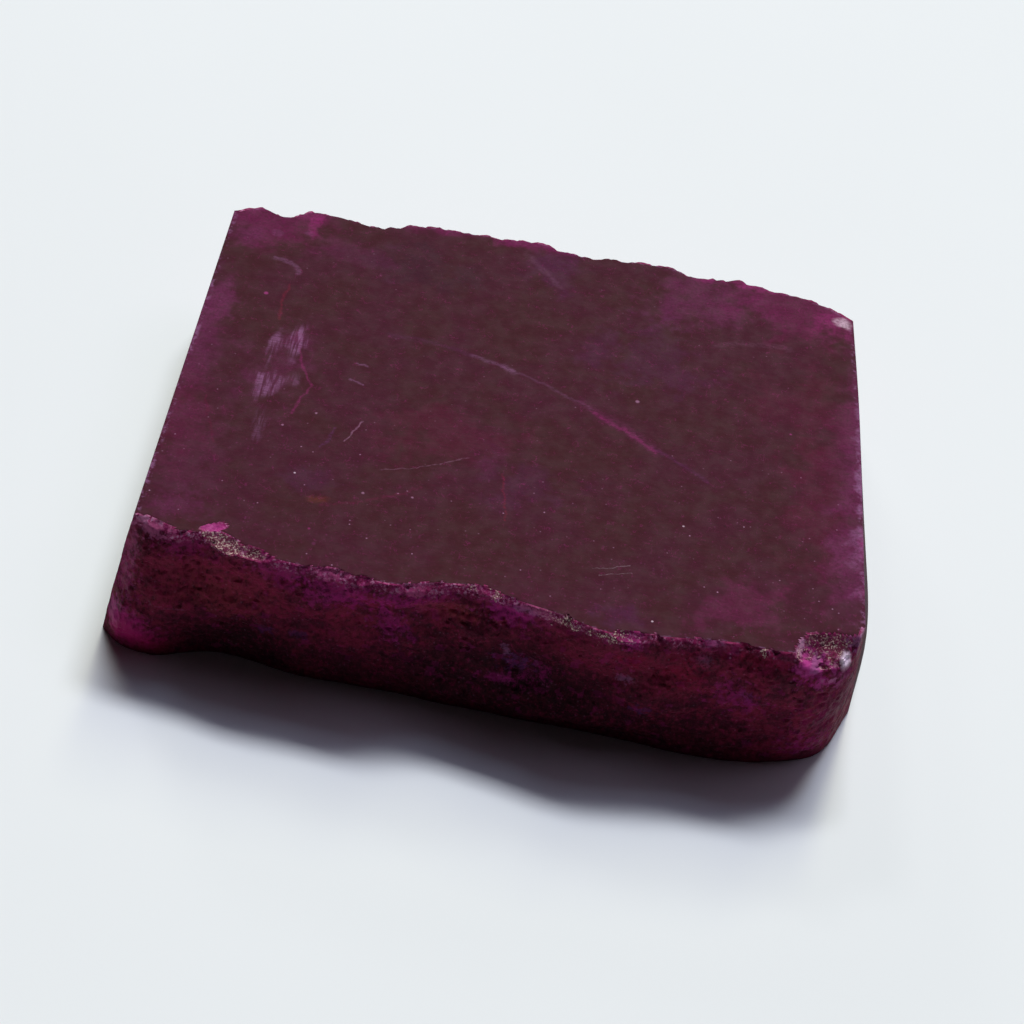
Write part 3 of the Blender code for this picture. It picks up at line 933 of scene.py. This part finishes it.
def cloud_group():
    """Cloud: 1 in the middle of an oval patch and 0 past its edge, which Wobble makes ragged."""
    graph, given, out = new_group(
        "Cloud",
        {"Point": (VECTOR, (0, 0, 0)), "Middle": (VECTOR, (0, 0, 0)), "Half Size": (VECTOR, (1, 1, 1)),
         "Wobble": (FLOAT, 0.0), "Ragged": (FLOAT, 1.0)},
        "Mask")
    away = graph.vector("DIVIDE", graph.vector("SUBTRACT", given["Point"], given["Middle"]),
                        given["Half Size"])
    edge = graph.times(given["Wobble"], given["Ragged"])
    graph.feed(out, graph.ramp(graph.math("ADD", graph.vector("LENGTH", away), edge), "cloud"))
    return graph.tree


def speckle_group():
    """Speckle: small round dots, one in each cell of Size whose own chance is under Share.

    The higher the chance, the brighter the dot.
    """
    graph, given, out = new_group(
        "Speckle",
        {"Point": (VECTOR, (0, 0, 0)), "Size": (FLOAT, 0.5), "Share": (FLOAT, 0.1), "Dot": (FLOAT, 0.3)},
        "Mask")
    scale = graph.math("DIVIDE", 1.0, given["Size"])
    cells = graph.node("ShaderNodeTexVoronoi", {"Vector": given["Point"], "Scale": scale})
    chance = graph.chance(cells)
    chosen = graph.math("LESS_THAN", chance, given["Share"])
    dot = graph.span(cells.outputs["Distance"], 0.0, given["Dot"], 1.0, 0.0)
    bright = graph.span(chance, 0.0, given["Share"], SPECK_FAINTEST, 1.0)
    graph.feed(out, graph.times(dot, chosen, bright))
    return graph.tree


def saw_group():
    """Saw marks: fine parallel grooves along X, uneven in depth."""
    graph, given, out = new_group(
        "Saw marks", {"Point": (VECTOR, (0, 0, 0)), "Pitch": (FLOAT, 0.1)}, "Height")
    scale = graph.math("DIVIDE", 1.0, given["Pitch"])
    graph.feed(out, graph.texture(given["Point"], scale, SAW["detail"], SAW["roughness"], SAW["stretch"]))
    return graph.tree


class StoneGraph(Graph):
    """The shader tree of one of the stone's materials.

    It knows the place on the stone in the form's millimetres, and a slow noise about zero, which
    breaks up the edges of patches.
    """

    def __init__(self, tree, groups, placing, edges):
        super().__init__(tree)
        self.groups = groups
        scale, shift = placing
        here = self.node("ShaderNodeTexCoord").outputs["Object"]
        mapping = self.node("ShaderNodeMapping", {"Vector": here, "Location": tuple(-shift / scale),
                                                  "Scale": tuple(1.0 / scale)})
        self.point = mapping.outputs["Vector"]
        self.wobble = self.times(self.off_middle(edges), EDGE_REACH)

    def off_middle(self, name):
        """One of the NOISES, about zero."""
        return self.math("SUBTRACT", self.noise(self.point, name), NOISE_MIDDLE)

    def cloud(self, middle, half, ragged):
        """The mask of one soft patch."""
        return self.group(self.groups["cloud"], {"Point": self.point, "Middle": middle, "Half Size": half,
                                                 "Wobble": self.wobble, "Ragged": ragged})["Mask"]

    def patches(self, color, patches):
        """Lays each soft patch of colour over the ones before it."""
        for tint, middle, half, strength, ragged in patches:
            color = self.tint(color, tint, self.cloud(middle, half, ragged), strength)
        return color

    def lines(self, color, lines, point, breaks):
        """Lays each chain of streaks over the colour, with gaps where breaks is low."""
        for tint, width, strength, places in lines:
            mask = 0.0
            for start, end in zip(places[:-1], places[1:]):
                link = self.group(self.groups["streak"], {"Point": point, "Start": (*start, 0.0),
                                                          "End": (*end, 0.0), "Width": width})
                mask = self.math("MAXIMUM", link["Mask"], mask)
            color = self.tint(color, tint, mask, breaks, strength)
        return color

    def specks(self, name):
        """The mask of one kind of specks."""
        size, share, dot = SPECKLES[name]
        return self.group(self.groups["speckle"], {"Point": self.point, "Size": size, "Share": share,
                                                   "Dot": dot})["Mask"]


def top_marks(graph, color, grain, on_top):
    """The veins, which run down through the stone, and the bleached streaks, scratches and dots."""
    point = graph.point
    flat = graph.vector("MULTIPLY", point, (1.0, 1.0, 0.0))
    bend = graph.node("ShaderNodeTexNoise", {"Vector": point, "Scale": BENDS["scale"],
                                             "Detail": BENDS["detail"]})
    bend = graph.vector("SUBTRACT", bend.outputs["Color"], (NOISE_MIDDLE, NOISE_MIDDLE, NOISE_MIDDLE))
    bend = graph.vector("MULTIPLY", bend, (BENDS["reach"], BENDS["reach"], 0.0))
    bent = graph.vector("ADD", flat, bend)
    depth = graph.math("SUBTRACT", HEIGHT, graph.part(point, "Z"))
    breaks = graph.ramp(grain, "vein gaps")
    color = graph.lines(color, VEINS, graph.vector("ADD", bent, graph.scaled(VEIN_SLANT, depth)), breaks)

    comb = graph.times(graph.ramp(graph.noise(point, "comb lines"), "comb lines"),
                       graph.ramp(graph.noise(point, "comb rows"), "comb rows"), on_top)
    for place, half, strength in BLEACHED:
        mask = graph.cloud((*place, HEIGHT), half, BLEACH["ragged"])
        color = graph.tint(color, "lilac", mask, comb, strength * BLEACH["strength"])
    color = graph.lines(color, SCRATCHES, bent, graph.times(breaks, on_top))
    dots = [(tint, (*place, HEIGHT), (size, size, 1.0), DOT["strength"], DOT["ragged"])
            for tint, place, size in DOTS]
    return graph.patches(color, dots)


def sawn_color(graph, saw):
    """The sawn faces: dull maroon, clouded with magenta and purple, with veins and bright dots."""
    point = graph.point
    tone = graph.noise(point, "top tone")
    mottle = graph.noise(point, "mottle")
    grain = graph.noise(point, "grain")
    on_top = graph.ramp(graph.math("SUBTRACT", HEIGHT, graph.part(point, "Z")), "on top")
    color = graph.mix(graph.ramp(tone, "umber tone"), rgba("maroon"), rgba("umber"))
    color = graph.tint(color, "rose", graph.ramp(mottle, "rose mottle"))
    color = graph.tint(color, "slate", graph.ramp(mottle, "slate mottle"))
    crumbs = graph.ramp(graph.noise(point, "patch crumbs"), "patch crumbs")
    patches = [(tint, (*place, HEIGHT), *rest) for tint, place, *rest in TOP_PATCHES]
    color = graph.mix(crumbs, color, graph.patches(color, patches))
    color = top_marks(graph, color, grain, on_top)

    color = graph.tint(color, "blush", graph.ramp(grain, "blush grain"))
    color = graph.tint(color, "dark", graph.ramp(grain, "dark grain"))
    hairs = graph.ramp(graph.math("ABSOLUTE", graph.off_middle("hairs")), "hairs")
    color = graph.tint(color, "orchid", hairs, graph.ramp(mottle, "hair patches"), on_top)
    crowded = graph.times(graph.ramp(tone, "crowded"), graph.ramp(graph.part(point, "Y"), "near front"))
    color = graph.tint(color, "mauve", graph.specks("fine"), crowded, FINE_SPECKS)
    color = graph.tint(color, "milk", graph.specks("pale"), crowded)
    rubbed = graph.ramp(graph.noise(point, "rubbed"), "rubbed")
    color = graph.tint(color, "lilac", graph.attribute("worn"), rubbed)
    return graph.tint(color, "slate", graph.ramp(saw, "grooves"))


def rim_crumbs(graph, color, tone):
    """Pale crumbs in a strip below the top rim, most of them at the left."""
    point = graph.point
    across = graph.part(point, "X")
    strip = graph.times(graph.ramp(graph.math("ADD", graph.part(point, "Z"), tone), "strip"),
                        graph.ramp(across, "strip right"), graph.ramp(across, "strip left"),
                        graph.ramp(graph.noise(point, "strip gaps"), "strip gaps"))
    crumbs = graph.noise(point, "skin crumbs")
    color = graph.tint(color, "petal", strip, graph.ramp(crumbs, "petal crumbs"))
    return graph.tint(color, "milk", strip, graph.ramp(crumbs, "milk crumbs"))


def gold_mica(graph, color):
    """Gold flakes on a brown bed, in the chips that mica lines and in the crumbled places. The bright
    flakes are partly painted glints: the mica's small faces catching the light.
    """
    mica = graph.attribute("mica")
    for middle, half in MICA_PATCHES:
        mica = graph.math("MAXIMUM", graph.cloud(middle, half, MICA["ragged"]), mica)
    patchy = graph.ramp(graph.math("ADD", graph.noise(graph.point, "mica gaps"), mica), "mica")
    flakes = graph.node("ShaderNodeTexVoronoi", {"Vector": graph.point, "Scale": MICA["flakes_per_mm"]})
    color = graph.tint(color, "bark", patchy, MICA["bed"])
    # Partly painted glints: bright gold cells over the mica's brown bed.
    return graph.tint(color, "gold", patchy, graph.ramp(graph.chance(flakes), "flakes"))


def broken_color(graph):
    """The broken skin: dark red with a sugary grain, and magenta, pale and gold crystals. Painted light
    is laid in too: shade low on the front, glow at the top rim and in the lobe at the base, and glints in
    the mica.
    """
    point = graph.point
    height = graph.part(point, "Z")
    tone = graph.noise(point, "skin tone")
    color = graph.mix(graph.ramp(tone, "garnet tone"), rgba("dusk"), rgba("garnet"))
    reach = graph.times(tone, RIM_BLUSH_AND_GLOW["reach"])
    near_rim = graph.ramp(graph.math("ADD", height, reach), "near rim")
    # Partly painted glow: orchid below the top rim, for light passing through the thin rim, over the
    # magenta of its crumbled crystals.
    color = graph.tint(color, "orchid", near_rim, RIM_BLUSH_AND_GLOW["strength"])
    color = graph.patches(color, SKIN_PATCHES)

    sugar = graph.noise(point, "sugar")
    color = graph.tint(color, "ruby", graph.ramp(sugar, "ruby sugar"))
    color = graph.tint(color, "dark", graph.ramp(sugar, "dark sugar"))
    color = graph.tint(color, "orchid", graph.ramp(graph.attribute("grain"), "bright crystals"))
    color = graph.tint(color, "milk", graph.specks("rim"), graph.ramp(near_rim, "rim specks"))
    color = rim_crumbs(graph, color, tone)
    color = graph.tint(color, "orchid", graph.attribute("chipped"), graph.ramp(sugar, "fresh chips"))
    # Painted light: garnet lifts the last millimetre above the table, standing in for light passing
    # through the base into the shade there.
    color = graph.tint(color, "garnet", graph.ramp(height, "painted base glow"))
    return graph.patches(gold_mica(graph, color), FRESH_PATCHES)


def new_material(name):
    """A material, its node tree and its one shader."""
    material = bpy.data.materials.new(name)
    material.use_nodes = True
    return material, material.node_tree, material.node_tree.nodes["Principled BSDF"]


def finish_shader(graph, shader, color, rough, height, depth, shine):
    """Feeds the stone's shader: its colour, roughness, bumps of a depth, and shine."""
    graph.feed(shader.inputs["Base Color"], color)
    graph.feed(shader.inputs["Roughness"], rough)
    bump = graph.node("ShaderNodeBump", {"Strength": 1.0, "Distance": depth, "Height": height})
    graph.feed(shader.inputs["Normal"], bump.outputs["Normal"])
    shader.inputs["IOR"].default_value = RUBY_IOR
    shader.inputs["Specular IOR Level"].default_value = shine


def sawn_material(settings, groups, placing):
    """Ruby as the saw leaves it: dull, finely grooved and clouded."""
    material, tree, shader = new_material("sawn_ruby")
    graph = StoneGraph(tree, groups, placing, "top edges")
    saw = graph.group(groups["saw"], {"Point": graph.point, "Pitch": settings.saw_pitch / MM})["Height"]
    satin = graph.span(graph.noise(graph.point, "satin"), *SATIN_SPAN,
                       settings.sawn_roughness + SAWN_SATIN[0], settings.sawn_roughness + SAWN_SATIN[1])
    height = graph.math("ADD", saw, graph.times(graph.noise(graph.point, "pits"), PIT_SHARE))
    finish_shader(graph, shader, sawn_color(graph, saw), satin, height, settings.saw_depth,
                  settings.sawn_shine)
    return material


def broken_material(settings, groups, placing):
    """Ruby as it breaks: small crystals, redder and brighter than the sawn faces."""
    material, tree, shader = new_material("broken_ruby")
    graph = StoneGraph(tree, groups, placing, "skin edges")
    rough = graph.span(graph.attribute("grain"), 0.0, 1.0, settings.broken_roughness + BROKEN_SATIN[0],
                       settings.broken_roughness + BROKEN_SATIN[1])
    facets = graph.node("ShaderNodeTexVoronoi", {"Vector": graph.point, "Scale": FACETS["per_mm"]})
    height = graph.math("SUBTRACT", graph.noise(graph.point, "fine grain"),
                        graph.times(facets.outputs["Distance"], FACETS["share"]))
    finish_shader(graph, shader, broken_color(graph), rough, height, settings.grain_height,
                  settings.broken_shine)
    return material


def floor_material(settings):
    """A pale matt board with a faint unevenness."""
    material, tree, shader = new_material("pale_floor")
    graph = Graph(tree)
    here = graph.node("ShaderNodeTexCoord").outputs["Object"]
    uneven = graph.ramp(graph.noise(here, "floor"), "uneven floor")
    dimmer = tuple(value * FLOOR_DIMMER for value in settings.floor_color)
    graph.feed(shader.inputs["Base Color"],
               graph.mix(uneven, (*settings.floor_color, 1.0), (*dimmer, 1.0)))
    shader.inputs["Roughness"].default_value = 1.0
    shader.inputs["Specular IOR Level"].default_value = 0.0
    return material


# ---------------------------------------------------------------------------------------------
# Stage: the floor, the lights and the camera
# ---------------------------------------------------------------------------------------------

CAMERA_PLACE = (0.00398, -0.12643, 0.12328)
CAMERA_PITCH = 44.0
CAMERA_TURN = 1.8566
CAMERA_ROLL = 8.0
CAMERA_LENS = 91.4
FLOOR_SIZE = 3.0
SENSOR_WIDTH = 36.0
CLIP_START = 0.01

# The soft lights, all high behind the stone: name, direction from the stone, width and height in
# metres, share of the power, and colour.
LIGHT_DISTANCE = 3.4
LIGHTS = [
    ("key", (0.12, 0.6, 1), (1.44, 0.42), 0.545, (0.925, 0.951, 1)),
    ("crown", (0.212, 0.507, 1), (0.29, 1.05), 0.082, (0.61, 0.74, 1)),
    ("low", (0.13, 0.96, 1), (0.42, 1.41), 0.204, (1, 0.96, 0.585)),
    ("side", (-0.46, 1.12, 1), (0.46, 0.4), 0.048, (1, 0.97, 0.935)),
    ("far", (-0.97, 2, 1), (0.46, 0.31), 0.03, (1, 0.97, 0.935)),
    ("band", (0.4, 0.44, 1), (3.6, 1.21), 0.1, (0.855, 0.73, 1)),
]


def add_floor(settings):
    """A square floor: two rows of two points, at the height that the stone rests on."""
    reach = np.array([-0.5, 0.5]) * FLOOR_SIZE
    across, along = np.meshgrid(reach, reach)
    points = np.stack([across.ravel(), along.ravel(), np.zeros(4)], axis=1)
    mesh = bpy.data.meshes.new("floor")
    mesh.from_pydata(points.tolist(), [], [(0, 1, 3, 2)])
    mesh.materials.append(floor_material(settings))
    floor = bpy.data.objects.new("floor", mesh)
    bpy.context.scene.collection.objects.link(floor)


def add_light(name, direction, size, watts, color):
    """A soft panel of light, in a direction from the stone, facing it."""
    data = bpy.data.lights.new(name, "AREA")
    data.shape = "RECTANGLE"
    data.size, data.size_y = size
    data.energy = watts
    data.color = color
    light = bpy.data.objects.new(name, data)
    away = Vector(direction).normalized()
    light.location = away * LIGHT_DISTANCE
    light.rotation_euler = away.to_track_quat("Z", "Y").to_euler()
    bpy.context.scene.collection.objects.link(light)


def add_camera():
    """The camera: turned about Z, pitched down, then rolled about its own view line."""
    data = bpy.data.cameras.new("camera")
    data.sensor_width = SENSOR_WIDTH
    data.lens = CAMERA_LENS
    data.clip_start = CLIP_START
    camera = bpy.data.objects.new("camera", data)
    turn = Matrix.Rotation(math.radians(CAMERA_TURN), 4, "Z")
    pitch = Matrix.Rotation(math.radians(90.0 - CAMERA_PITCH), 4, "X")
    roll = Matrix.Rotation(math.radians(CAMERA_ROLL), 4, "Z")
    camera.matrix_world = Matrix.Translation(CAMERA_PLACE) @ turn @ pitch @ roll
    bpy.context.scene.collection.objects.link(camera)
    bpy.context.scene.camera = camera


def set_world(settings):
    """Even, faint light from all round."""
    world = bpy.data.worlds.new("studio")
    world.use_nodes = True
    background = world.node_tree.nodes["Background"]
    background.inputs["Color"].default_value = (*settings.fill_color, 1.0)
    background.inputs["Strength"].default_value = settings.fill_strength
    bpy.context.scene.world = world
    bpy.context.scene.view_settings.view_transform = "Standard"


# ---------------------------------------------------------------------------------------------
# Add-on: settings, operators and panel
# ---------------------------------------------------------------------------------------------


class RawRubySettings(bpy.types.PropertyGroup):
    """Sizes and finish of the stone."""

    rim_wear: bpy.props.FloatProperty(
        name="Rim wear", description="How far the rims are nicked", default=1.0, min=0.0, max=2.0)
    crystal_relief: bpy.props.FloatProperty(
        name="Crystal relief", description="How far the broken crystals stand out", default=1.0,
        min=0.0, max=2.0)
    saw_pitch: bpy.props.FloatProperty(
        name="Saw pitch", description="Distance between saw marks", default=0.00009,
        subtype="DISTANCE", unit="LENGTH", precision=5)
    saw_depth: bpy.props.FloatProperty(
        name="Saw depth", description="Depth of the saw marks", default=0.00001,
        subtype="DISTANCE", unit="LENGTH", precision=5)
    grain_height: bpy.props.FloatProperty(
        name="Grain height", description="Depth of the finest grain", default=0.00004,
        subtype="DISTANCE", unit="LENGTH", precision=5)
    sawn_roughness: bpy.props.FloatProperty(
        name="Sawn roughness", description="Roughness of the sawn faces", default=0.72,
        subtype="FACTOR", min=0.0, max=1.0)
    broken_roughness: bpy.props.FloatProperty(
        name="Broken roughness", description="Roughness of the broken skin", default=0.62,
        subtype="FACTOR", min=0.0, max=1.0)
    sawn_shine: bpy.props.FloatProperty(
        name="Sawn shine", description="Strength of reflections in the sawn faces", default=0.065,
        subtype="FACTOR", min=0.0, max=1.0)
    broken_shine: bpy.props.FloatProperty(
        name="Broken shine", description="Strength of reflections in the broken skin", default=0.028,
        subtype="FACTOR", min=0.0, max=1.0)


class RubyStageSettings(bpy.types.PropertyGroup):
    """Floor and light."""

    floor_color: bpy.props.FloatVectorProperty(
        name="Floor colour", description="Colour of the pale floor", default=(0.80, 0.833, 0.850),
        subtype="COLOR", size=3, min=0.0, max=1.0)
    light_watts: bpy.props.FloatProperty(
        name="Light", description="Power of the soft lights behind the stone", default=165.0,
        unit="POWER")
    fill_color: bpy.props.FloatVectorProperty(
        name="Fill colour", description="Colour of the light from all round", default=(1.0, 0.78, 0.88),
        subtype="COLOR", size=3, min=0.0, max=1.0)
    fill_strength: bpy.props.FloatProperty(
        name="Fill strength", description="Strength of the light from all round", default=0.011)


class RUBY_OT_add_stone(bpy.types.Operator):
    """Build the raw ruby slab in place of the plain stone"""

    bl_idname = "raw_ruby.add_stone"
    bl_label = "Add stone"

    def execute(self, context):
        settings = context.scene.raw_ruby
        mesh, placing = stone_mesh(settings)
        groups = {"streak": streak_group(), "cloud": cloud_group(), "speckle": speckle_group(),
                  "saw": saw_group()}
        materials = [sawn_material(settings, groups, placing), broken_material(settings, groups, placing)]
        stone = new_piece("ruby_stone", mesh, materials)
        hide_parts(CAD_NODE)
        return {"FINISHED"}


class RUBY_OT_add_stage(bpy.types.Operator):
    """Add the pale floor, the soft lights and the camera"""

    bl_idname = "raw_ruby.add_stage"
    bl_label = "Add stage"

    def execute(self, context):
        settings = context.scene.raw_ruby_stage
        add_floor(settings)
        for name, direction, size, share, color in LIGHTS:
            add_light(name, direction, size, share * settings.light_watts, color)
        add_camera()
        set_world(settings)
        return {"FINISHED"}


class RUBY_PT_panel(bpy.types.Panel):
    """Settings and buttons for the raw ruby"""

    bl_idname = "RUBY_PT_panel"
    bl_label = "Raw Ruby"
    bl_space_type = "VIEW_3D"
    bl_region_type = "UI"
    bl_category = "Raw Ruby"

    def draw(self, context):
        for settings in (context.scene.raw_ruby, context.scene.raw_ruby_stage):
            box = self.layout.box()
            for name in settings.__annotations__:
                box.prop(settings, name)
        self.layout.operator(RUBY_OT_add_stone.bl_idname)
        self.layout.operator(RUBY_OT_add_stage.bl_idname)


CLASSES = (RawRubySettings, RubyStageSettings, RUBY_OT_add_stone, RUBY_OT_add_stage, RUBY_PT_panel)


def register():
    for item in CLASSES:
        bpy.utils.register_class(item)
    bpy.types.Scene.raw_ruby = bpy.props.PointerProperty(type=RawRubySettings)
    bpy.types.Scene.raw_ruby_stage = bpy.props.PointerProperty(type=RubyStageSettings)


def unregister():
    del bpy.types.Scene.raw_ruby
    del bpy.types.Scene.raw_ruby_stage
    for item in reversed(CLASSES):
        bpy.utils.unregister_class(item)


def main():
    register()
    bpy.ops.raw_ruby.add_stone()
    bpy.ops.raw_ruby.add_stage()


if __name__ == "__main__":
    main()
